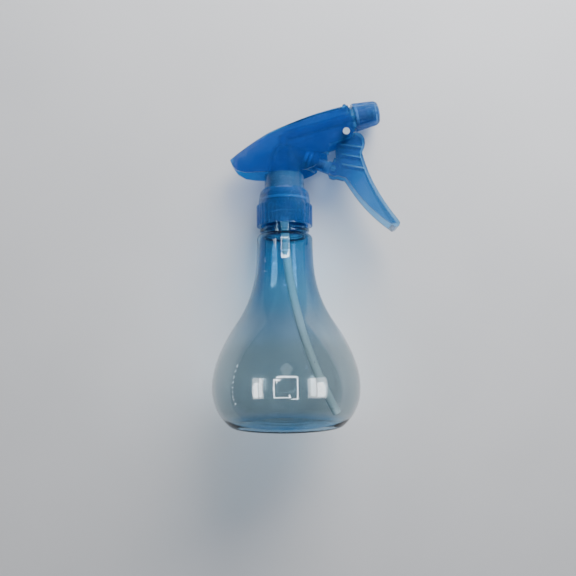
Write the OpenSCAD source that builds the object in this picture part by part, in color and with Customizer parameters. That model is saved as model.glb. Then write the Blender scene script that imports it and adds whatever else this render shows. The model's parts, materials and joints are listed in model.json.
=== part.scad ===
// Trigger spray bottle: a gourd-shaped bottle with a screw-on trigger pump.
// The bottle stands on z = 0 with its axis on +Z, and it sprays towards +X.

/* [Bottle] */
// Largest radius of the belly
belly_r = 42.5; // [41:0.5:44]
// Height of the widest part of the belly
belly_z = 22.5; // [21:0.5:24]
// Radius of the foot that the bottle stands on
foot_r = 35; // [34.5:0.25:35.5]
// Radius of the straight stretch below the shoulder
neck_wall_r = 16.5; // [16:0.25:17]
// Height of the shoulder, where the screw finish begins
shoulder_z = 110.9; // [110:0.1:111.5]
// Wall thickness of the bottle
wall = 1.1; // [0.8:0.1:1.4]

/* [Screw finish] */
// Radius of the finish under its thread
finish_r = 12.55; // [12.4:0.05:12.6]
// Radius over the finish's thread
thread_r = 13.8; // [13.6:0.05:13.8]
// Radius of the bead under the closure
bead_r = 14.6; // [14.2:0.1:14.8]
// Radius of the neck's bore
bore_r = 11; // [10.8:0.1:11.2]
// Rise of the thread in one turn
pitch = 4.233; // [4.2:0.001:4.3]
// Height of the lip
lip_z = 130.6; // [130.2:0.1:131]

/* [Closure] */
// Height of the closure's lower edge
closure_z = 115.8; // [115.5:0.1:116.2]
// Height of the closure's top
closure_top = 137.3; // [137:0.1:137.6]
// Radius between the grip ribs
skirt_r = 15.75; // [15.6:0.05:15.9]
// How far the grip ribs stand out
rib_h = 0.7; // [0.4:0.1:0.9]
// Number of grip ribs
rib_count = 40; // [30:2:44]

/* [Pump] */
// Angle by which the pump cylinder points down
pump_tilt = 22.5; // [22:0.5:23]
// Outer radius of the pump cylinder
cylinder_r = 5.8; // [5.7:0.05:5.9]
// Bore radius of the pump cylinder
cylinder_bore = 4.75; // [4.7:0.05:4.8]
// Radius of the piston rod
rod_r = 3.6; // [3.5:0.05:3.7]
// Radius of the dome over the inlet valve
dome_r = 9.8; // [9.6:0.1:9.8]
// Radius of the light sleeve between closure and shroud
sleeve_r = 11.65; // [11.5:0.05:11.7]
// Height of the sleeve's upper edge
sleeve_top = 146.3; // [146:0.1:146.4]

/* [Nozzle] */
// Angle by which the nozzle points up
nozzle_tilt = 12.5; // [12:0.5:13]
// Radius of the nozzle cap at its rear edge
cap_rear_r = 8.1; // [8:0.1:8.3]
// Radius of the nozzle cap at its front
cap_front_r = 6.6; // [6.5:0.1:7]
// Length of the nozzle cap
cap_len = 15; // [15:0.1:15.4]
// Number of fine ribs on the nozzle cap
cap_ribs = 24; // [16:2:28]

/* [Trigger] */
// Radius of the pivot pin
pin_r = 2.1; // [2:0.05:2.2]
// Half the trigger's width at its top
ear_out = 4.6; // [4.5:0.1:4.7]
// Half the trigger's width at its tip
tip_half = 7.4; // [6.5:0.1:7.6]

/* [Shroud] */
// Half the width of the shroud at its widest
shroud_half = 11.2; // [11:0.1:11.6]
// Half the width of the shroud's flat top at its front
top_half = 5; // [4.8:0.1:5.2]
// Wall thickness of the shroud
shroud_wall = 1.2; // [1:0.1:1.3]

/* [Hidden] */
$fn = 96;

eps = 0.02;      // overlap that joins neighbouring solids
fit = 0.05;      // radial clearance of a running fit
gap = 0.3;       // clearance between moving faces

// Colours of the mouldings
deep_blue = [0.05, 0.36, 0.68, 0.8];
mid_blue = [0.25, 0.5, 0.75, 0.8];
pale_blue = [0.5, 0.72, 0.86, 0.8];
milky = [0.85, 0.9, 0.92, 0.8];
steel = [0.75, 0.76, 0.78];

// Levels in the stack that the closure clamps
gasket_t = 1.25;
flange_z = lip_z + gasket_t;
flange_t = 2.15;
flange_r = 13.5;
flange_top = flange_z + flange_t;

// Centres and directions of the two inclined axes, and the trigger's pivot
lip = [20.05, 0, 153.55];
nozzle = [42, 0, 181.8];
pivot = [36.8, 0, 170.7];
peg_s = 9.6;     // where the trigger's peg crosses the pump axis at rest

// Half widths of the plates that carry the trigger's pin
plate_in = ear_out + gap;
plate_out = 6.1;

// ---- helpers ----

// Point on a cubic curve with the control points p
function bez(p, t) =
    p[0] * pow(1 - t, 3) + 3 * p[1] * t * pow(1 - t, 2) + 3 * p[2] * t * t * (1 - t) + p[3] * pow(t, 3);

// Points along a cubic curve, without its first one
function curve(p, n) = [for (i = [1:n]) bez(p, i / n)];

// Points of an arc from angle a to angle b
function arc(c, r, a, b, n) = [for (i = [0:n]) c + r * [cos(a + (b - a) * i / n), sin(a + (b - a) * i / n)]];

// The same points with each radius made smaller by d
function inset(points, d) = [for (p = points) [max(p[0] - d, 0), p[1]]];

function reversed(points) = [for (i = [len(points) - 1:-1:0]) points[i]];

// Points of a line moved sideways by d, to the left of the way it runs
function beside(points, d) = [for (i = [0:len(points) - 1])
    let(a = points[max(i - 1, 0)], b = points[min(i + 1, len(points) - 1)], v = (b - a) / norm(b - a))
    points[i] + d * [-v[1], v[0]]];

// Faces of a tube through rings of m points each, which turn counter-clockwise seen along the tube
function tube_faces(rings, m) = concat(
    [[for (j = [m - 1:-1:0]) j]],
    [for (i = [0:rings - 2], j = [0:m - 1]) [i * m + j, i * m + (j + 1) % m, (i + 1) * m + j]],
    [for (i = [0:rings - 2], j = [0:m - 1])
        [(i + 1) * m + j, i * m + (j + 1) % m, (i + 1) * m + (j + 1) % m]],
    [[for (j = [0:m - 1]) (rings - 1) * m + j]]);

// Helical ridge, from the radius root to crest, that runs out at both ends
module thread_ridge(root, crest, lead, turns, root_w, crest_w) {
    steps = 24;                 // rings in one turn
    rings = round(turns * steps) + 1;
    out = crest > root ? 1 : -1;
    points = [for (i = [0:rings - 1])
        let(a = 360 * i / steps, z = lead * i / steps, ends = min(1, i / 3, (rings - 1 - i) / 3),
            tip = root + (crest - root) * max(ends, 0.12))
        for (q = [[root, -root_w / 2], [tip, -crest_w / 2], [tip, crest_w / 2], [root, root_w / 2]])
            [q[0] * cos(a), q[0] * sin(a), z + out * q[1]]];
    polyhedron(points, tube_faces(rings, 4), convexity = 6);
}

// Helical wire from z = 0 to z = length
module coil(r, wire_r, length, turns) {
    steps = 16;
    sides = 6;
    rings = round(turns * steps) + 1;
    points = [for (i = [0:rings - 1])
        let(a = 360 * i / steps, z = wire_r + (length - 2 * wire_r) * i / (rings - 1))
        for (j = [0:sides - 1])
            let(b = 360 * j / sides, q = r + wire_r * cos(b))
            [q * cos(a), q * sin(a), z + wire_r * sin(b)]];
    polyhedron(points, tube_faces(rings, sides), convexity = 8);
}

// Puts local +Z along the pump cylinder, with its origin in the middle of the cylinder's lip
module on_pump() {
    translate(lip) rotate([0, 90 + pump_tilt, 0]) children();
}

// Puts local +Z along the nozzle, with its origin in the middle of the cap's rear edge
module on_nozzle() {
    translate(nozzle) rotate([0, 90 - nozzle_tilt, 0]) children();
}

// Ring from z = a to z = b
module ring(r_out, r_in, a, b) {
    translate([0, 0, a]) difference() {
        cylinder(r = r_out, h = b - a);
        translate([0, 0, -1]) cylinder(r = r_in, h = b - a + 2);
    }
}

// Upright plate with the side outline points, |y| from y0 to y1 on both sides
module side_plates(points, y0, y1) {
    for (side = [-1, 1])
        translate([0, side * (y0 + y1) / 2, 0]) side_block(points, (y1 - y0) / 2);
}

// Upright block with the side outline points, as wide as |y| <= half
module side_block(points, half) {
    translate([0, half, 0]) rotate([90, 0, 0]) linear_extrude(2 * half) polygon(points);
}

// ---- bottle and closure ----

flare_r = 29;      // radius and height where the belly turns into the neck
flare_z = 58.2;
foot_top = 3.2;
shoulder_fillet = 3;
thread_z = lip_z - 9.6;    // height at which the finish's thread begins

// Side of the bottle from the foot to the neck
side_line = concat(
    curve([[foot_r, foot_top], [39.5, 7.5], [belly_r, 14], [belly_r, belly_z]], 6),
    curve([[belly_r, belly_z], [belly_r, 34], [36.5, 47.5], [flare_r, flare_z]], 8),
    curve([[flare_r, flare_z], [22.5, 67.5], [neck_wall_r, 80], [neck_wall_r, 101]], 8));

module bottle() {
    fillet_z = shoulder_z - shoulder_fillet;
    fillet_c = [neck_wall_r - 0.1 - shoulder_fillet, fillet_z];
    outer = concat(
        [[0, 2.6], [14, 2.3], [22, 1.5], [27, 0], [30, 0]],
        curve([[30, 0], [32.4, 0], [foot_r - 1.2, foot_top - 1.2], [foot_r, foot_top]], 4),
        side_line,
        arc(fillet_c, shoulder_fillet, 0, 90, 6),
        [[finish_r, shoulder_z], [finish_r, 112.2], [bead_r - 0.4, 112.2], [bead_r, 112.6],
         [bead_r, 113.4], [bead_r - 0.4, 113.8], [finish_r, 113.8], [finish_r, lip_z - 0.4],
         [finish_r - 0.4, lip_z]]);
    inner = concat(
        [[0, 4], [14, 3.7], [22, 2.9], [27, 1.5], [30, 1.5], [32, 2.2]],
        inset(side_line, wall),
        arc(fillet_c, shoulder_fillet - 1.5, 0, 70, 3),
        [[bore_r, shoulder_z - 0.4], [bore_r, lip_z - 0.3], [bore_r + 0.3, lip_z]]);
    color(pale_blue) union() {
        rotate_extrude() polygon(concat(outer, reversed(inner)));
        translate([0, 0, thread_z])
            thread_ridge(finish_r - 0.3, thread_r, pitch, 1.5, 2, 0.8);
    }
}

module neck_gasket() {
    color(milky) ring(flange_r, bore_r + 0.3, lip_z, flange_z);
}

module closure() {
    cavity_r = thread_r + gap;
    step_z = 127.8;
    cap_line = [[skirt_r - 0.35, step_z - eps], [skirt_r - 0.5, 130.5], [14.7, 134.4], [14.15, 136.1],
        [13.3, 137.1], [12.7, closure_top]];
    color(deep_blue) union() {
        difference() {
            union() {
                translate([0, 0, closure_z]) linear_extrude(step_z - closure_z) {
                    circle(r = skirt_r);
                    for (i = [0:rib_count - 1])
                        rotate(360 * i / rib_count)
                            translate([skirt_r - 0.5, -0.55]) square([rib_h + 0.5, 1.1]);
                }
                rotate_extrude() polygon(concat([[0, step_z - eps]], cap_line, [[0, closure_top]]));
            }
            translate([0, 0, closure_z - 1])
                cylinder(r = cavity_r, h = flange_top + fit - closure_z + 1);
            translate([0, 0, closure_z - 1]) cylinder(r = sleeve_r + gap, h = 30);
        }
        ring(cavity_r + 0.3, flange_r - 0.4, lip_z - 1.3, lip_z - 0.4);
        translate([0, 0, thread_z - pitch / 2])
            thread_ridge(cavity_r + 0.3, finish_r + 0.35, pitch, 1.25, 2, 0.8);
    }
}

// ---- inlet side, clamped by the closure ----

tube_r = 2.5;          // outside of the dip tube
tube_bore = 1.8;
spigot_z = 121.5;
boss_r = 3.4;          // boss with the inlet valve's seat
seat_z = 136.8;
seat_r = 1.4;
ball_r = 2;
stem_r = 4.4;          // bore of the housing's stem around the boss
chamber_r = 2.6;       // bore of the stem above the seat

module valve_carrier() {
    color(pale_blue) difference() {
        union() {
            translate([0, 0, flange_z]) cylinder(r = flange_r, h = flange_t);
            translate([0, 0, flange_z]) cylinder(r = sleeve_r, h = sleeve_top - flange_z);
            translate([0, 0, spigot_z]) cylinder(r = 4.2, h = flange_z - spigot_z + eps);
        }
        difference() {
            translate([0, 0, flange_top]) cylinder(r = dome_r + fit, h = 20);
            translate([0, 0, flange_top - 1]) cylinder(r = boss_r, h = seat_z - flange_top + 1);
        }
        ring(sleeve_r + 1, sleeve_r - 0.3, 140.1, 140.9);
        translate([0, 0, spigot_z - 1]) cylinder(r = tube_r + eps, h = flange_z - spigot_z);
        translate([0, 0, spigot_z - 1]) cylinder(r = seat_r, h = 30);
        translate([-7, 0, flange_z - 1]) cylinder(r = 0.7, h = 5);
    }
}

// Slender tube: straight in its socket, then one long bend to the front of the foot
module dip_tube() {
    bend_r = 240;
    bend_z = spigot_z - 0.1;
    color(milky) {
        ring(tube_r, tube_bore, bend_z, flange_z - 1.1);
        translate([bend_r, 0, bend_z]) rotate([90, 0, 0]) rotate(180) rotate_extrude(angle = 28.4)
            translate([bend_r, 0]) difference() {
                circle(r = tube_r);
                circle(r = tube_bore);
            }
    }
}

module inlet_ball() {
    color(steel) translate([0, 0, seat_z + sqrt(ball_r * ball_r - seat_r * seat_r) + fit]) sphere(r = ball_r);
}

// Slotted stop that lets the ball rise by one millimetre
module ball_cage() {
    cage_z = 140.55;
    color(milky) difference() {
        ring(chamber_r, 1.6, cage_z, cage_z + 2);
        for (a = [0:120:240])
            rotate(a) translate([1, -0.5, cage_z - 1]) cube([1.2, 1, 4]);
    }
}

module stem_seal() {
    color(milky) ring(stem_r, boss_r, flange_top + 0.4, seat_z - 0.4);
}

// ---- pump housing ----

barrel_r = 3.2;        // discharge barrel and its bore
barrel_bore = 1.6;
barrel_tilt = 15.5;
barrel_len = 43;
boss_nozzle_r = 5.6;   // threaded end that carries the nozzle cap
boss_len = 11;
valve_bore = 3.2;
cylinder_len = 16;

dome_line = curve([[dome_r, 150], [dome_r, 158.5], [6.5, 166.2], [0, 166.2]], 8);
dome_wall = 1.4;

// Front view of the dome: its sides lean in to stay clear of the shroud
dome_side = [[dome_r, sleeve_top - gap], [9, sleeve_top], [8.5, 150], [8, 153], [7.2, 156],
    [6.1, 160], [4, 167]];
dome_front = concat([[-dome_r, 137], [dome_r, 137]], dome_side,
    [for (q = reversed(dome_side)) [-q[0], q[1]]]);

// Outline of the plates beside the trigger's top, and of the web between barrel and cylinder
plate_line = [[3, 160], [9, 164], [20, 169], [33, 172.5], [38.3, 174], [41.3, 171.6], [39.2, 167.3],
    [26.1, 162.4], [26.5, 157.2], [22, 159]];
web_line = [[2, 163], [2, 170.5], [20, 175.5], [38, 180.5], [38.5, 172], [33, 170], [27, 168], [18, 160]];

// Puts local +Z along the discharge barrel, which ends behind the nozzle
module along_barrel() {
    translate(nozzle) rotate([0, 90 - barrel_tilt, 0]) children();
}

module pump_housing() {
    color(deep_blue) difference() {
        union() {
            difference() {
                intersection() {
                    union() {
                        translate([0, 0, 138]) cylinder(r = dome_r, h = 12 + eps);
                        rotate_extrude() polygon(concat([[0, 150], [dome_r, 150]], dome_line));
                    }
                    translate([-20, 0, 0]) facing(dome_front);
                }
                translate([0, 0, 137]) cylinder(r = dome_r - dome_wall, h = 13 + eps);
                rotate_extrude() polygon(concat([[0, 150], [dome_r - dome_wall, 150]],
                    [for (p = dome_line) [max(p[0] - dome_wall, 0), p[1] - dome_wall * (1 - p[0] / dome_r)]]));
            }
            translate([0, 0, flange_top + gap]) cylinder(r = 5.6, h = 8);
            translate([0, 0, flange_top + gap]) cylinder(r = 4.2, h = 31);
            translate([0, 0, 162]) cylinder(r = barrel_r, h = 8.5);
            along_barrel() translate([0, 0, -barrel_len]) cylinder(r = barrel_r, h = barrel_len - 1);
            on_pump() translate([0, 0, -cylinder_len - 1.2]) cylinder(r = cylinder_r, h = cylinder_len + 1.2);
            on_nozzle() {
                translate([0, 0, -2]) cylinder(r = 6.8, h = 1.5);
                translate([0, 0, -0.6]) cylinder(r = boss_nozzle_r - 0.6, h = boss_len + 0.6);
                translate([0, 0, -0.6]) cylinder(r = boss_nozzle_r, h = 5.2);
                translate([0, 0, 5.6]) thread_ridge(boss_nozzle_r - 0.8, boss_nozzle_r, cap_lead, 1.25, 1, 0.5);
            }
            side_plates(plate_line, plate_in, plate_out);
            side_block(web_line, 1);
            translate([pivot[0], 2.4, pivot[2]]) rotate([90, 0, 0]) cylinder(r = 4.1, h = 4.8);
        }
        translate([0, 0, 130]) cylinder(r = stem_r, h = seat_z + 0.1 - 130);
        translate([0, 0, 130]) cylinder(r = chamber_r, h = 33);
        translate([0, 0, 160]) cylinder(r = barrel_bore, h = 10);
        along_barrel() translate([0, 0, -barrel_len + 1]) cylinder(r = barrel_bore, h = barrel_len - 2);
        on_pump() {
            translate([0, 0, -cylinder_len]) cylinder(r = cylinder_bore, h = cylinder_len + 1);
            translate([0, 0, -cylinder_len - 5]) cylinder(r = 1.3, h = 6);
        }
        on_nozzle() {
            translate([0, 0, -3]) cylinder(r = barrel_bore, h = 4);
            cylinder(r = valve_bore, h = boss_len + 1);
        }
        translate([pivot[0], 10, pivot[2]]) rotate([90, 0, 0]) cylinder(r = pin_r, h = 20);
    }
}

// ---- piston ----

spring_pocket_r = 2.3;
slot_r = 1.85;
peg_r = 1.7;

// Piston with its two ring grooves, its spring pocket and the slotted tang that the trigger pushes
module piston() {
    color(mid_blue) on_pump() difference() {
        union() {
            translate([0, 0, -8.6]) cylinder(r = 3.1, h = 3);
            translate([0, 0, -6.5]) cylinder(r = 4.5, h = 0.9);
            translate([0, 0, -6]) cylinder(r = rod_r, h = 12.5);
            translate([0, 0, -4.1]) cylinder(r = 4.5, h = 0.8);
            translate([-3.9, -1.6, 6]) cube([7.2, 3.2, 6.2]);
        }
        translate([0, 0, -9]) cylinder(r = spring_pocket_r, h = 13);
        translate([0, 3, peg_s]) rotate([90, 0, 0]) cylinder(r = slot_r, h = 6);
        translate([-1.1, 3, peg_s]) rotate([90, 0, 0]) cylinder(r = slot_r, h = 6);
        translate([-1.1, -3, peg_s - slot_r]) cube([1.1, 6, 2 * slot_r]);
    }
}

module cup_seal() {
    color(milky) on_pump() ring(cylinder_bore - fit, 3.1, -8.4, -6.5);
}

module vent_seal() {
    color(milky) on_pump() ring(cylinder_bore - fit, rod_r, -5.6, -4.1);
}

module return_spring() {
    spring_len = cylinder_len + 4;
    color(steel) on_pump() translate([0, 0, -cylinder_len]) coil(1.75, 0.35, spring_len, 9);
}

// ---- trigger ----

front_line = concat(
    [[43.2, 171.3]],
    curve([[43.2, 171.3], [48.3, 170.5], [49.6, 164.5], [46.2, 159]], 6),
    curve([[46.2, 159], [47.3, 153.8], [51.6, 137], [66.5, 117]], 10));
tip_line = [[66.9, 116], [66.2, 114], [64.4, 113.4]];
rear_line = curve([[64.4, 113.4], [52, 122.3], [45, 130], [36.3, 144.1]], 8);
plate_t = 1.5;
ear_wall = 1.8;
tip_wall = 1.6;

// Front view of the trigger: |y| up to top above the finger rest, and up to low at the tip
function front_view(top, low) = [[-top, 180], [-top, 142], [-low, 114], [-low, 110],
    [low, 110], [low, 114], [top, 142], [top, 180]];

// Block with the front view points, which runs along +X
module facing(points) {
    rotate([90, 0, 90]) linear_extrude(100) polygon(points);
}

module trigger() {
    ear_line = [[35.2, 144.1], [31.4, 145.2], [29.6, 144.8], [27.2, 145.8], [26.4, 147.9], [29.7, 155.8],
        [31.4, 155.1], [31.2, 163], [32.9, 168.5]];
    cavity_front = reversed(beside(front_line, -plate_t));
    color(mid_blue) difference() {
        union() {
            intersection() {
                side_block(concat(front_line, tip_line, rear_line, ear_line), 12);
                facing(front_view(ear_out, tip_half));
            }
            translate([pivot[0], ear_out, pivot[2]]) rotate([90, 0, 0]) cylinder(r = 4.4, h = 2 * ear_out);
        }
        difference() {
            intersection() {
                side_block(concat(cavity_front, [[38, 175.5], [30, 175.5], [20, 160], [20, 140], [33, 130],
                    [48, 115], [58, 108], [62.6, 116]]), 12);
                facing(front_view(ear_out - ear_wall, tip_half - tip_wall));
            }
            for (rib = [[33, 164.1, 8.4], [34.4, 158, 10.6], [34.4, 151.9, 11.7]])
                translate([rib[0], -ear_out, rib[1]]) rotate([0, rib[2], 0]) cube([16, 2 * ear_out, 1]);
            on_pump() translate([0, ear_out, peg_s]) rotate([90, 0, 0]) cylinder(r = peg_r, h = 2 * ear_out);
        }
        translate([pivot[0], ear_out - ear_wall, pivot[2]]) rotate([90, 0, 0])
            cylinder(r = 4.5, h = 2 * (ear_out - ear_wall));
        translate([pivot[0], 10, pivot[2]]) rotate([90, 0, 0]) cylinder(r = pin_r + fit, h = 20);
    }
}

module pivot_pin() {
    half = 8.4;
    color("white") translate([pivot[0], half, pivot[2]]) rotate([90, 0, 0]) cylinder(r = pin_r, h = 2 * half);
}

// ---- shroud ----

tail_ridge = [[-32.2, 156.5], [-26, 162], [-15, 169.6], [-7.8, 173.4]];
front_ridge = [[-7.8, 173.4], [4, 178.1], [20, 184.5], [43, 189.4]];
tail_part = 0.3;     // share of the ridge's parameter that its tail takes
tail_x = -32.2;
wide_x = -1;         // where the lower edge is widest
low_z = 140;         // lowest level of the full width

// Point of the ridge at the fraction t: steep over the tail, flatter from the knee to the nozzle
function ridge_at(t) = t < tail_part
    ? bez(tail_ridge, t / tail_part)
    : bez(front_ridge, (t - tail_part) / (1 - tail_part));

// Half width of the shroud's lower edge at x: a rounded tail that narrows again towards the front
function low_half(x) = x < wide_x
    ? shroud_half * sqrt(max(1 - pow((wide_x - x) / (wide_x - tail_x + 0.8), 2.4), 0.01))
    : shroud_half - (x - wide_x) * 0.066;

// Half width of the shroud's top at the fraction t along its ridge
function crest_half(t) = 0.6 + (top_half - 0.6) * min(1, t / 0.7);

// Height of the level at which the shroud has its full width, which rises towards the front
function full_z(x) = max(low_z, low_z + (x - 8) * 0.7);

// One cross-section at the fraction t, made smaller by d all round
function section(t, d) =
    let(p = ridge_at(t), a = crest_half(t), b = low_half(p[0]), low = full_z(p[0]),
        half = [for (s = [1, 0.8, 0.6, 0.42, 0.27, 0.15, 0.06, 0])
            let(w = a + (b - a) * sin(90 * s))
            [max(w - d, w * 0.4), p[1] - d - 0.5 * pow(1 - s, 6) + (low - p[1]) * s]],
        crown = [[half[7][0] * 0.6, p[1] - d]])
    concat(
        [[p[0], -half[0][0], 130]],
        [for (q = concat(half, crown)) [p[0], -q[0], q[1]]],
        [for (q = reversed(concat(half, crown))) [p[0], q[0], q[1]]],
        [[p[0], half[0][0], 130]]);

// Solid through n + 1 cross-sections, from the fraction t0 of the ridge to t1, made smaller by d
module loft(d, t0, t1, n) {
    sections = [for (i = [0:n]) section(t0 + (t1 - t0) * i / n, d)];
    m = len(sections[0]);
    polyhedron([for (s = sections) each s], tube_faces(n + 1, m), convexity = 4);
}

module shroud() {
    below = [[-40, 120], [-40, 156.3], [tail_x, 156.3], [-30.5, 152.1], [-27.8, 148.9], [-23.3, 146.9],
        [-18, 146.4], [8, 146.4], [12.4, 147.4], [17, 149.2], [20, 151], [21.5, 157.4], [25.8, 158.3],
        [26.5, 163], [39, 167.8], [41.5, 170.8], [60, 168], [60, 120]];
    color(deep_blue) difference() {
        union() {
            loft(0, 0, 1, 15);
            translate([36.3, 3.6, 187.9]) rotate([90, 0, 0]) cylinder(r = 1.2, h = 7.2, $fn = 12);
        }
        loft(shroud_wall, 0.04, 1.03, 14);
        side_block(below, 20);
        on_nozzle() translate([-40, -20, -2.4]) cube([80, 40, 30]);
        translate([pivot[0], 20, pivot[2]]) rotate([90, 0, 0]) cylinder(r = pin_r + fit, h = 40);
    }
}

// ---- nozzle ----

cap_lead = 3;
cap_bore = boss_nozzle_r + gap;
core_z = boss_len - 3;

module outlet_valve() {
    color(milky) on_nozzle() {
        translate([0, 0, fit]) cylinder(r = 2.5, h = 1.2);
        translate([0, 0, fit]) cylinder(r = 1.2, h = 2.6);
    }
}

module outlet_spring() {
    color(steel) on_nozzle() translate([0, 0, 1.3]) coil(1.75, 0.25, core_z - 1.35, 6);
}

// Swirl plug pressed into the housing, with three feed grooves and a nose behind the orifice
module nozzle_core() {
    color(milky) on_nozzle() difference() {
        union() {
            translate([0, 0, core_z]) cylinder(r = valve_bore, h = boss_len - core_z);
            translate([0, 0, boss_len - eps]) cylinder(r = 2.4, h = 1.4);
        }
        for (a = [0:120:240])
            rotate(a) translate([2, -0.5, core_z - 1]) cube([2, 1, 8]);
    }
}

module nozzle_seal() {
    color(milky) on_nozzle() ring(cap_bore + 0.65, boss_nozzle_r + fit, 0.7, 2.1);
}

// Ribbed cap that screws on the housing's threaded end, with the spray orifice in its front
module nozzle_cap() {
    front_in = boss_len + 1.45;
    orifice_r = 0.4;
    taper = atan((cap_rear_r - cap_front_r) / cap_len);
    color(mid_blue) on_nozzle() union() {
        difference() {
            union() {
                rotate_extrude() polygon([[0, 0], [cap_rear_r, 0], [cap_front_r + 0.1, cap_len - 1],
                    [cap_front_r - 0.3, cap_len - 0.3], [cap_front_r - 1, cap_len], [0, cap_len]]);
                for (i = [0:cap_ribs - 1])
                    rotate(360 * i / cap_ribs) translate([cap_rear_r - 0.5, -0.35, 0.4])
                        rotate([0, -taper, 0]) cube([0.8, 0.7, cap_len - 2]);
            }
            translate([0, 0, -1]) cylinder(r = cap_bore, h = front_in + 1);
            translate([0, 0, 0.6]) cylinder(r = cap_bore + 0.7, h = 1.6);
            cylinder(r = orifice_r, h = 30);
            translate([0, 0, cap_len - 0.8]) cylinder(r = 1.6, h = 2);
        }
        translate([0, 0, 5.6 + cap_lead / 2])
            thread_ridge(cap_bore + 0.3, boss_nozzle_r - 0.35, cap_lead, 1, 1, 0.5);
    }
}

bottle();
neck_gasket();
closure();
valve_carrier();
dip_tube();
inlet_ball();
ball_cage();
stem_seal();
pump_housing();
return_spring();
piston();
cup_seal();
vent_seal();
trigger();
pivot_pin();
shroud();
outlet_valve();
outlet_spring();
nozzle_core();
nozzle_seal();
nozzle_cap();
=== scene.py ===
"""The looks of the trigger spray bottle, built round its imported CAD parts.

The bottle stands on z = 0 and sprays towards +X. It is seen from -Y, with a pale table close behind it.
"""

import json
import math

import bmesh
import bpy
from mathutils import Matrix, Vector


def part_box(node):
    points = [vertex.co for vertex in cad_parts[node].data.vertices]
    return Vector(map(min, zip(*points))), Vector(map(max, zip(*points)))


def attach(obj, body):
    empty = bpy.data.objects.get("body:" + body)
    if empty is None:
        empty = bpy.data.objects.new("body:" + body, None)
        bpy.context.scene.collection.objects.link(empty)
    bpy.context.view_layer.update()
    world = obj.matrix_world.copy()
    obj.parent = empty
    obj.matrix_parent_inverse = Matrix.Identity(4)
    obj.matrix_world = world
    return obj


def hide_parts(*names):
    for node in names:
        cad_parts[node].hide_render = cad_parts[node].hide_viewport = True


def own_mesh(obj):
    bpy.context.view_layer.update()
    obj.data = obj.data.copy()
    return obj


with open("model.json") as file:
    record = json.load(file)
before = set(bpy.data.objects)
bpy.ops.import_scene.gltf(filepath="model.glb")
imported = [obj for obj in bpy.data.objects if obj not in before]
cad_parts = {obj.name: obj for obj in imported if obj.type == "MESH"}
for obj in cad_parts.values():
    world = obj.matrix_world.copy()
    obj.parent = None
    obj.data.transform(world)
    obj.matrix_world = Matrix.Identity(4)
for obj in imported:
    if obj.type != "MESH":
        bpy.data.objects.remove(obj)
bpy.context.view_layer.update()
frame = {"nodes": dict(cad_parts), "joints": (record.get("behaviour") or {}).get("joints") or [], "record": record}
MM = 0.001
NODES = frame["nodes"]
JOINTS = {joint["name"]: joint for joint in frame["joints"]}
BODY_OF = {node: body for body, held in frame["record"]["behaviour"]["bodies"].items() for node in held}


# ---- node helpers ----

class Nodes:
    """A node tree, with short ways to add to it. A value is a number, a colour or another node's socket."""

    def __init__(self, tree):
        self.nodes = tree.nodes
        self.links = tree.links

    def add(self, kind, **settings):
        node = self.nodes.new(kind)
        for key, value in settings.items():
            setattr(node, key, value)
        return node

    def put(self, value, socket):
        """Give a socket its value."""
        if isinstance(value, bpy.types.NodeSocket):
            self.links.new(value, socket)
        elif isinstance(value, tuple):
            socket.default_value = (*value, 1)
        else:
            socket.default_value = value

    def maths(self, operation, *values):
        """Result of a sum, product or the like of plain values."""
        node = self.add("ShaderNodeMath", operation=operation)
        for value, socket in zip(values, node.inputs):
            self.put(value, socket)
        return node.outputs["Value"]

    def between(self, value, low, high, from_low=0.3, from_high=0.7):
        """value carried from its usual spread, by default that of noise, to low ... high."""
        node = self.add("ShaderNodeMapRange")
        ends = {"From Min": from_low, "From Max": from_high, "To Min": low, "To Max": high}
        for name, end in ends.items():
            node.inputs[name].default_value = end
        self.put(value, node.inputs["Value"])
        return node.outputs["Result"]

    def mixed(self, share, first, second, kind="RGBA"):
        """first where share is 0 and second where it is 1; kind is RGBA for colours, FLOAT for numbers."""
        node = self.add("ShaderNodeMix", data_type=kind)
        for name, value in (("Factor", share), ("A", first), ("B", second)):
            self.put(value, node.inputs[name])
        return node.outputs["Result"]

    def length(self, vector):
        """Length of a vector socket."""
        node = self.add("ShaderNodeVectorMath", operation="LENGTH")
        self.put(vector, node.inputs[0])
        return node.outputs["Value"]

    def power(self, colour, exponent):
        """Each part of a colour to a power, which is what a wall that many times as thick would show."""
        node = self.add("ShaderNodeGamma")
        self.put(colour, node.inputs["Color"])
        self.put(exponent, node.inputs["Gamma"])
        return node.outputs["Color"]


HAZE_SHARE = 0.6         # how much of a shadow's colour is haze and not tint
THROUGH_ONE_FACE = 0.5   # a wall's tint falls on its two faces, so each has the square root


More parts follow.
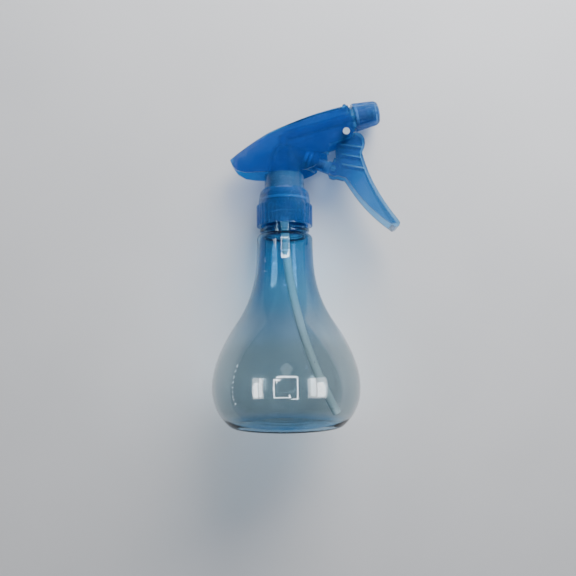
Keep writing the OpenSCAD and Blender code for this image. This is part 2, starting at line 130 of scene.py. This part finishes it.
class Shading(Nodes):
    """The node tree of one material, laid out in the part's own frame."""

    def __init__(self, name):
        self.material = bpy.data.materials.new(name)
        self.material.use_nodes = True
        super().__init__(self.material.node_tree)
        self.shader = self.nodes["Principled BSDF"]
        self.place = self.add("ShaderNodeTexCoord").outputs["Object"]

    def set(self, **values):
        """Values of the shader, by socket name with _ for each blank."""
        for key, value in values.items():
            self.put(value, self.shader.inputs[key.replace("_", " ")])

    def scaled(self, scale):
        """The place, stretched along the axes."""
        mapping = self.add("ShaderNodeMapping")
        mapping.inputs["Scale"].default_value = scale
        self.put(self.place, mapping.inputs["Vector"])
        return mapping.outputs["Vector"]

    def noise(self, size, detail=3.0, stretch=(1, 1, 1)):
        """Noise with features of about size millimetres; returns its value socket."""
        noise = self.add("ShaderNodeTexNoise")
        noise.inputs["Scale"].default_value = 1 / (size * MM)
        noise.inputs["Detail"].default_value = detail
        self.put(self.scaled(stretch), noise.inputs["Vector"])
        return noise.outputs["Fac"]

    def height(self):
        """Socket with the height above the foot, in metres."""
        split = self.add("ShaderNodeSeparateXYZ")
        self.put(self.place, split.inputs["Vector"])
        return split.outputs["Z"]

    def radius(self):
        """Socket with the distance from the bottle's axis, in metres."""
        return self.length(self.scaled((1, 1, 0)))

    def facing(self):
        """0 where the surface faces the viewer, 1 where it is seen edge on."""
        slant = self.add("ShaderNodeLayerWeight")
        slant.inputs["Blend"].default_value = 0.5
        return slant.outputs["Facing"]

    def by_height(self, stops):
        """Colour by height: stops are (millimetres above the foot, colour)."""
        low, high = stops[0][0], stops[-1][0]
        ramp = self.add("ShaderNodeValToRGB")
        ramp.color_ramp.interpolation = "EASE"
        while len(ramp.color_ramp.elements) < len(stops):
            ramp.color_ramp.elements.new(0.5)
        for element, (height, colour) in zip(ramp.color_ramp.elements, stops):
            element.position = (height - low) / (high - low)
            element.color = (*colour, 1)
        self.put(self.between(self.height(), 0, 1, low * MM, high * MM), ramp.inputs["Fac"])
        return ramp.outputs["Color"]

    def bumps(self, *layers):
        """Bump from (height socket, depth in mm) layers, one on top of the other."""
        normal = None
        for height, depth in layers:
            bump = self.add("ShaderNodeBump")
            bump.inputs["Strength"].default_value = 1.0
            bump.inputs["Distance"].default_value = depth * MM
            self.put(height, bump.inputs["Height"])
            if normal:
                self.put(normal, bump.inputs["Normal"])
            normal = bump.outputs["Normal"]
        self.put(normal, self.shader.inputs["Normal"])

    def gives_way(self, share, colour=(1, 1, 1)):
        """The surface turns into a clear film of this colour where share is 1."""
        clear = self.add("ShaderNodeBsdfTransparent")
        self.put(colour, clear.inputs["Color"])
        mix = self.add("ShaderNodeMixShader")
        for value, socket in zip((share, self.shader.outputs["BSDF"], clear.outputs["BSDF"]), mix.inputs):
            self.put(value, socket)
        self.put(mix.outputs["Shader"], self.nodes["Material Output"].inputs["Surface"])

    def lets_light_through(self, tint, haze=(0.74, 0.80, 0.86)):
        """Lamps shine through the wall, tinted but paler than it, so it casts a soft coloured shadow."""
        paler = self.mixed(HAZE_SHARE, tint, haze)
        rays = self.add("ShaderNodeLightPath")
        self.gives_way(rays.outputs["Is Shadow Ray"], self.power(paler, THROUGH_ONE_FACE))


# ---- materials ----

CLEAR = (0.45, 0.52, 0.545)
FOOT_BLUE = (0.09, 0.32, 0.60)
WALL_TINTS = [
    (0, CLEAR), (40, CLEAR), (58, (0.45, 0.56, 0.63)), (76, (0.34, 0.56, 0.68)),
    (98, (0.25, 0.52, 0.69)), (131, (0.22, 0.47, 0.65))]


def wall_tint(look):
    """Blue at the neck and in the raised middle of the foot, nearly clear in the belly."""
    wall = look.by_height(WALL_TINTS)
    inside = look.between(look.radius(), 1, 0, 31.5 * MM, 36 * MM)
    under = look.between(look.height(), 1, 0, 3.8 * MM, 5.5 * MM)
    return look.mixed(look.maths("MULTIPLY", inside, under), wall, FOOT_BLUE)


def wall_depth_and_painted_ring(look):
    """How much wall is looked through: streaky, and more at the neck's sides. At the belly's sides it is less, a
    painted light that shows the rim lighter than the middle, and the middle is painted shade standing for the
    bottle's shadow on the table behind.
    """
    streaks = look.between(look.noise(16, 2, stretch=(1, 1, 0.25)), 0.95, 1.15)
    facing = look.facing()
    # painted light: at belly height the slanted rim gets less wall, so it is painted lighter than the shaded
    # middle; at the neck the sides get more wall
    side = look.between(facing, 0, 1, 0.26, 0.38)
    neck_depth_and_painted_ring = look.between(look.height(), -0.5, 1.0, 52 * MM, 78 * MM)
    outline = look.between(facing, 0, 1, 0.66, 0.82)
    at_outline = look.between(look.height(), 0, 2.6, 52 * MM, 64 * MM)
    depth = look.maths("MULTIPLY_ADD", side, neck_depth_and_painted_ring, streaks)
    return look.maths("MULTIPLY_ADD", outline, at_outline, depth)


def tinted_bottle(name, ior):
    """Blown clear plastic with a faint blue tint."""
    look = Shading(name)
    # the depth paints light and shade into the tint: a lighter rim and a darker middle on the belly
    colour = look.power(wall_tint(look), wall_depth_and_painted_ring(look))
    look.set(Base_Color=colour, Roughness=look.between(look.noise(5), 0.012, 0.04),
             Transmission_Weight=1.0, IOR=ior)
    look.bumps((look.noise(22, 2, stretch=(1, 1, 0.4)), 0.05), (look.noise(2.6, 2), 0.004))
    look.lets_light_through(colour, haze=(0.66, 0.69, 0.71))
    return look.material


def rubbed(look, roughness):
    """Uneven gloss, with fine rub marks that run round the body."""
    base = look.between(look.noise(3.5, 4), roughness * 0.75, roughness * 1.3)
    marks = look.between(look.noise(1.1, 4, stretch=(1, 1, 9)), 0, 1, 0.60, 0.72)
    return look.maths("MULTIPLY_ADD", marks, 0.12, base)


def cloudy(look, clouds, blue, depth):
    """A colour that is paler in some clouds of the moulding and deeper in others."""
    pale = tuple(c + (1 - c) * depth * 0.5 for c in blue)
    deep = tuple(c ** (1 + depth) for c in blue)
    return look.mixed(clouds, deep, pale)


def moulded(name, tint, roughness, cloud, transmission, low_tint=None):
    """Translucent moulded plastic with flow clouds and a fine grain; low_tint is its thin low end's."""
    look = Shading(name)
    clouds = look.between(look.noise(11, 3), 0, 1)
    colour = cloudy(look, clouds, tint, cloud)
    if low_tint:
        upper = look.between(look.height(), 0, 1, 122 * MM, 160 * MM)
        colour = look.mixed(upper, cloudy(look, clouds, low_tint, cloud), colour)
    look.set(Base_Color=colour, Roughness=rubbed(look, roughness),
             Transmission_Weight=transmission, IOR=1.49)
    look.bumps((look.noise(9, 2), 0.05), (look.noise(0.7, 3), 0.005))
    look.lets_light_through(colour)
    return look.material


def solid(name, pale, deep, roughness, metallic=0.0, grain=0.01):
    """Opaque stuff with slow colour changes, uneven gloss and a fine grain."""
    look = Shading(name)
    colour = look.mixed(look.between(look.noise(6, 4), 0, 1), deep, pale)
    gloss = look.between(look.noise(1.6, 4), roughness * 0.7, roughness * 1.3)
    look.set(Base_Color=colour, Roughness=gloss, Metallic=metallic)
    look.bumps((look.noise(0.8, 3), grain))
    return look.material


BOTTLE = tinted_bottle("tinted_bottle", 1.42)
FOOT = tinted_bottle("tinted_foot", 1.2)
CLOSURE = moulded("closure_blue", (0.018, 0.21, 0.54), 0.17, cloud=0.12, transmission=0.84)
SHROUD = moulded("shroud_blue", (0.02, 0.265, 0.655), 0.14, cloud=0.10, transmission=0.96)
HOUSING = moulded("housing_blue", (0.13, 0.47, 0.79), 0.18, cloud=0.10, transmission=0.93)
TRIGGER = moulded("trigger_blue", (0.09, 0.36, 0.71), 0.15, cloud=0.10, transmission=0.96,
                  low_tint=(0.20, 0.48, 0.76))
CAP = moulded("cap_blue", (0.08, 0.29, 0.63), 0.17, cloud=0.10, transmission=0.88)
SLEEVE = moulded("sleeve_blue", (0.045, 0.20, 0.42), 0.2, cloud=0.1, transmission=0.7)
TUBE = moulded("milky_tube", (0.40, 0.47, 0.48), 0.35, cloud=0.1, transmission=0.4)
SEAL = solid("soft_seal", (0.74, 0.76, 0.76), (0.64, 0.67, 0.68), 0.6, grain=0.02)
STEEL = solid("drawn_steel", (0.66, 0.67, 0.69), (0.52, 0.53, 0.55), 0.24, metallic=1.0)
WHITE = solid("white_pin", (0.31, 0.36, 0.42), (0.26, 0.31, 0.37), 0.35)

LOOKS = {
    "bottle": BOTTLE, "closure": CLOSURE, "shroud": SHROUD, "pump_housing": HOUSING,
    "trigger": TRIGGER, "nozzle_cap": CAP, "piston": CAP, "valve_carrier": SLEEVE,
    "pivot_pin": WHITE, "dip_tube": TUBE, "ball_cage": TUBE, "outlet_valve": TUBE,
    "nozzle_core": TUBE, "neck_gasket": SEAL, "stem_seal": SEAL, "cup_seal": SEAL,
    "vent_seal": SEAL, "nozzle_seal": SEAL, "return_spring": STEEL, "outlet_spring": STEEL,
    "inlet_ball": STEEL,
}
for name, node in NODES.items():
    node.data.materials.clear()
    node.data.materials.append(LOOKS[name])


# ---- pieces that stand for a CAD node ----

def stand_in(node, ending, shape):
    """Turn a bmesh into the piece that a CAD node's body carries in the node's place."""
    mesh = bpy.data.meshes.new(node + ending)
    shape.to_mesh(mesh)
    shape.free()
    mesh.materials.append(LOOKS[node])
    piece = bpy.data.objects.new(node + ending, mesh)
    bpy.context.scene.collection.objects.link(piece)
    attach(piece, BODY_OF[node])
    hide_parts(node)
    return piece


SKIN_CREASE = math.radians(24)   # a sharper turn than this stays an edge
WELD = 0.0005 * MM               # corners that lie closer than this are one
FOOT_TOP = 6 * MM


def smooth_skin(node):
    """A CAD node's surface with evenly turning normals, so that it mirrors the lamps without steps."""
    shape = bmesh.new()
    shape.from_mesh(NODES[node].data)
    bmesh.ops.remove_doubles(shape, verts=shape.verts, dist=WELD)
    for face in shape.faces:
        face.smooth = True
    for edge in shape.edges:
        edge.smooth = edge.is_manifold and edge.calc_face_angle(math.pi) < SKIN_CREASE
    skin = stand_in(node, "_skin", shape)
    if "custom_normal" in skin.data.attributes:
        skin.data.attributes.remove(skin.data.attributes["custom_normal"])
    return skin


def give_foot_its_look(skin):
    """The foot bends light less than the wall does, so its blue shows as an even ellipse."""
    skin.data.materials.append(FOOT)
    for face in skin.data.polygons:
        face.material_index = int(face.center.z < FOOT_TOP)


SKINS = {node: smooth_skin(node) for node in ("bottle", "dip_tube")}
give_foot_its_look(SKINS["bottle"])

WIRE_SIDES = 10
STEPS_A_TURN = 40


def coil_shape(middle, axis, low, high, coil_r, wire_r, turns):
    """A coil of round wire about middle, from low to high along the axis."""
    across = axis.orthogonal().normalized()
    beside = axis.cross(across)
    last = turns * STEPS_A_TURN
    shape = bmesh.new()
    rings = []
    for i in range(last + 1):
        angle = 2 * math.pi * i / STEPS_A_TURN
        out = across * math.cos(angle) + beside * math.sin(angle)
        rise = low + wire_r + (high - low - 2 * wire_r) * i / last
        centre = middle + out * coil_r + axis * rise
        around = [2 * math.pi * j / WIRE_SIDES for j in range(WIRE_SIDES)]
        rings.append([shape.verts.new(centre + wire_r * (out * math.cos(a) + axis * math.sin(a)))
                      for a in around])
    for first, second in zip(rings, rings[1:]):
        for j in range(WIRE_SIDES):
            k = (j + 1) % WIRE_SIDES
            shape.faces.new((first[j], first[k], second[k], second[j]))
    shape.faces.new(rings[0])
    shape.faces.new(reversed(rings[-1]))
    bmesh.ops.recalc_face_normals(shape, faces=shape.faces)
    for face in shape.faces:
        face.smooth = len(face.verts) == 4
    return shape


def spring(node, joint, turns):
    """A round-wire coil in the place of a CAD coil, wound along its joint's axis."""
    axis = Vector(JOINTS[joint]["axis"]).normalized()
    points = [v.co for v in NODES[node].data.vertices]
    middle = sum(points, Vector()) / len(points)
    along = [(p - middle).dot(axis) for p in points]
    away = [((p - middle) - axis * (p - middle).dot(axis)).length for p in points]
    wire_r = (max(away) - min(away)) / 2
    coil_r = (max(away) + min(away)) / 2
    shape = coil_shape(middle, axis, min(along), max(along), coil_r, wire_r, turns)
    piece = stand_in(node, "_wire", shape)
    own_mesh(piece)
    return piece


SPRINGS = [spring("return_spring", "piston_stroke", 9), spring("outlet_spring", "outlet_valve_lift", 6)]


# ---- the pale table that the bottle lies against ----

BELLY_HEIGHT = 22.5 * MM
CAP_HEIGHT = 183 * MM
CAP_SIDE = 8.6 * MM
beside_belly = Vector((0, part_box("bottle")[1].y, BELLY_HEIGHT))
beside_cap = Vector((0, CAP_SIDE, CAP_HEIGHT))
table_up = (beside_cap - beside_belly).normalized()
table_out = Vector((0, -table_up.z, table_up.y))
TABLE_SIZE = 4
TABLE_GAP = 0.6 * MM


def pale_surface():
    """Painted board, seen from its front only and fading out, so that it hides nothing from behind."""
    look = Shading("pale_table")
    clouds = look.between(look.noise(90, 2), 0, 1)
    look.set(Base_Color=look.mixed(clouds, (0.66, 0.665, 0.68), (0.70, 0.70, 0.715)),
             Roughness=look.between(look.noise(4), 0.5, 0.6))
    look.bumps((look.noise(1.2, 3), 0.01))
    far = look.between(look.length(look.place), 0, 1, 0.30, 0.62)
    seen = look.add("ShaderNodeLightPath").outputs["Is Camera Ray"]
    back = look.add("ShaderNodeNewGeometry").outputs["Backfacing"]
    look.gives_way(look.maths("MAXIMUM", back, look.maths("MULTIPLY", far, seen)))
    return look.material


def lay_table():
    """A board just clear of the belly's side and the nozzle cap's."""
    bpy.ops.mesh.primitive_plane_add(size=TABLE_SIZE)
    table = bpy.context.object
    table.name = "table"
    side = Vector((1, 0, 0))
    table.matrix_world = Matrix((side, table_out.cross(side), table_out)).transposed().to_4x4()
    table.location = beside_belly - table_out * TABLE_GAP
    table.data.materials.append(pale_surface())


lay_table()


# ---- camera ----

def set_camera():
    """A camera in front of the belly, tilted up a little and slightly rolled."""
    pitch, roll = math.radians(6.0), math.radians(-0.62)
    place = Vector((1.595, -348.4, 42.754)) * MM
    cam = bpy.data.cameras.new("camera")
    cam.lens = 37.5
    cam.sensor_width = 36
    view = bpy.data.objects.new("camera", cam)
    bpy.context.scene.collection.objects.link(view)
    forward = Vector((0, math.cos(pitch), math.sin(pitch)))
    level_up = Vector((0, -math.sin(pitch), math.cos(pitch)))
    up = level_up * math.cos(roll) - forward.cross(level_up) * math.sin(roll)
    right = forward.cross(up)
    view.matrix_world = Matrix((right, up, -forward)).transposed().to_4x4()
    view.location = place
    bpy.context.scene.camera = view


set_camera()


# ---- light: a pale room, two soft lamps, and lamps that show as reflections in the bottle ----

def light_room():
    """An even room: dim where it lights or is mirrored, and bright where it is seen behind the object."""
    world = bpy.data.worlds.new("room")
    bpy.context.scene.world = world
    world.use_nodes = True
    room = Nodes(world.node_tree)
    toward = room.add("ShaderNodeVectorMath", operation="DOT_PRODUCT")
    room.put(room.add("ShaderNodeTexCoord").outputs["Generated"], toward.inputs[0])
    toward.inputs[1].default_value = table_out
    mirrored = room.between(toward.outputs["Value"], 0.22, 0.14, 0.0, 0.35)
    rays = room.add("ShaderNodeLightPath").outputs
    strength = room.mixed(rays["Is Glossy Ray"], 0.32, mirrored, "FLOAT")
    strength = room.mixed(rays["Is Transmission Ray"], strength, 0.50, "FLOAT")
    strength = room.mixed(rays["Is Camera Ray"], strength, 0.80, "FLOAT")
    background = room.nodes["Background"]
    room.put(strength, background.inputs["Strength"])
    room.put((0.93, 0.96, 1), background.inputs["Color"])


light_room()


def group(name, pieces):
    """A collection for linking light, with these pieces in it."""
    linked = bpy.data.collections.new(name)
    for piece in pieces:
        linked.objects.link(piece)
    return linked


WHOLE = group("whole", [*NODES.values(), *SKINS.values(), *SPRINGS])
MIRROR = group("mirror", [SKINS["bottle"]])


def lamp(name, offset, width, height, power, aim=(0, 0, 0.09)):
    """Rectangular lamp at an offset from the point that it aims at, in metres and watts."""
    data = bpy.data.lights.new(name, "AREA")
    data.shape = "RECTANGLE"
    data.size = width
    data.size_y = height
    data.energy = power
    data.color = (0.97, 0.98, 1.0)
    thing = bpy.data.objects.new(name, data)
    bpy.context.scene.collection.objects.link(thing)
    thing.location = Vector(aim) + Vector(offset)
    thing.rotation_euler = (-Vector(offset)).to_track_quat("-Z", "Y").to_euler()
    thing.visible_camera = False
    return thing


def soft_lamp(name, offset, size, power):
    """A square lamp that lights the scene and is nowhere mirrored."""
    thing = lamp(name, offset, size, size, power)
    thing.visible_glossy = False
    thing.visible_transmission = False
    return thing


def mirrored_lamp(name, offset, width, height, power, aim_height):
    """A lamp for the bottle's skin only, as a reflection in it."""
    thing = lamp(name, offset, width, height, power, aim=(0, 0, aim_height))
    thing.light_linking.receiver_collection = MIRROR


def light_from_behind():
    """Two lamps behind the table that light the object and not the table."""
    for k, (x, z) in enumerate([(-0.6, 0.5), (0.75, 0.25)]):
        back = soft_lamp(f"behind_{k}", (x, 0.9, z), 0.8, 4.0)
        back.light_linking.receiver_collection = WHOLE
        back.light_linking.blocker_collection = WHOLE


def hang_windows():
    """Two windows, each a dim whole with three brighter panes, at the left and the right."""
    panes = [  # across, up, width and height as shares of the whole window, and glow
        (0.0, 0.0, 1.0, 1.0, 0.45), (-0.24, 0.06, 0.28, 0.9, 0.7),
        (0.16, -0.06, 0.34, 0.72, 1.2), (0.4, -0.1, 0.1, 0.6, 0.7)]
    windows = [  # side, place, how far its panes lie apart across, width, height and power
        ("left", (-0.95, -1.05), (-0.3, 0.3), 0.42, 0.80, 25),
        ("right", (1.05, -0.95), (0.5, 0.5), 0.80, 0.76, 42)]
    for side, (x, y), (apart_x, apart_y), width, height, power in windows:
        for k, (across, up_by, w, h, glow) in enumerate(panes):
            place = (x + apart_x * across, y + apart_y * across, 0.8 * up_by - 0.02)
            mirrored_lamp(f"window_{side}_{k}", place, width * w, height * h, power * w * h * glow, 0.025)


def hang_ceiling_lamp():
    """A square ceiling lamp of two angled tubes, drawn by eight straight arms."""
    side, bar, glow = 0.66, 0.035, 130
    arms = [  # x, z, width and height
        (0.31, 0.0, bar, side), (0.02, 0.33, 0.56, bar), (0.22, -0.33, 0.22, bar),
        (-0.25, 0.24, bar, 0.14), (-0.33, -0.02, bar, 0.52), (-0.12, -0.27, 0.42, bar),
        (-0.24, 0.25, 0.20, bar), (0.09, -0.23, bar, 0.10)]
    for k, (x, z, width, height) in enumerate(arms):
        mirrored_lamp(f"ceiling_{k}", (x, -1.02, z), width, height, glow * width * height, 0.03)


def hang_dotted_strip():
    """An upright row of small lamps at the left."""
    count, apart = 9, 0.12
    for k in range(count):
        mirrored_lamp(f"strip_{k}", (-1.2, -0.07, apart * (k - count // 2)), 0.04, 0.05, 0.06, 0.03)


soft_lamp("sky_far", (0.7, -2.0, 0.9), 1.8, 8)
soft_lamp("sky_near", (0.27, -0.44, 0.58), 0.55, 16.5)
hang_windows()
light_from_behind()
hang_ceiling_lamp()
hang_dotted_strip()
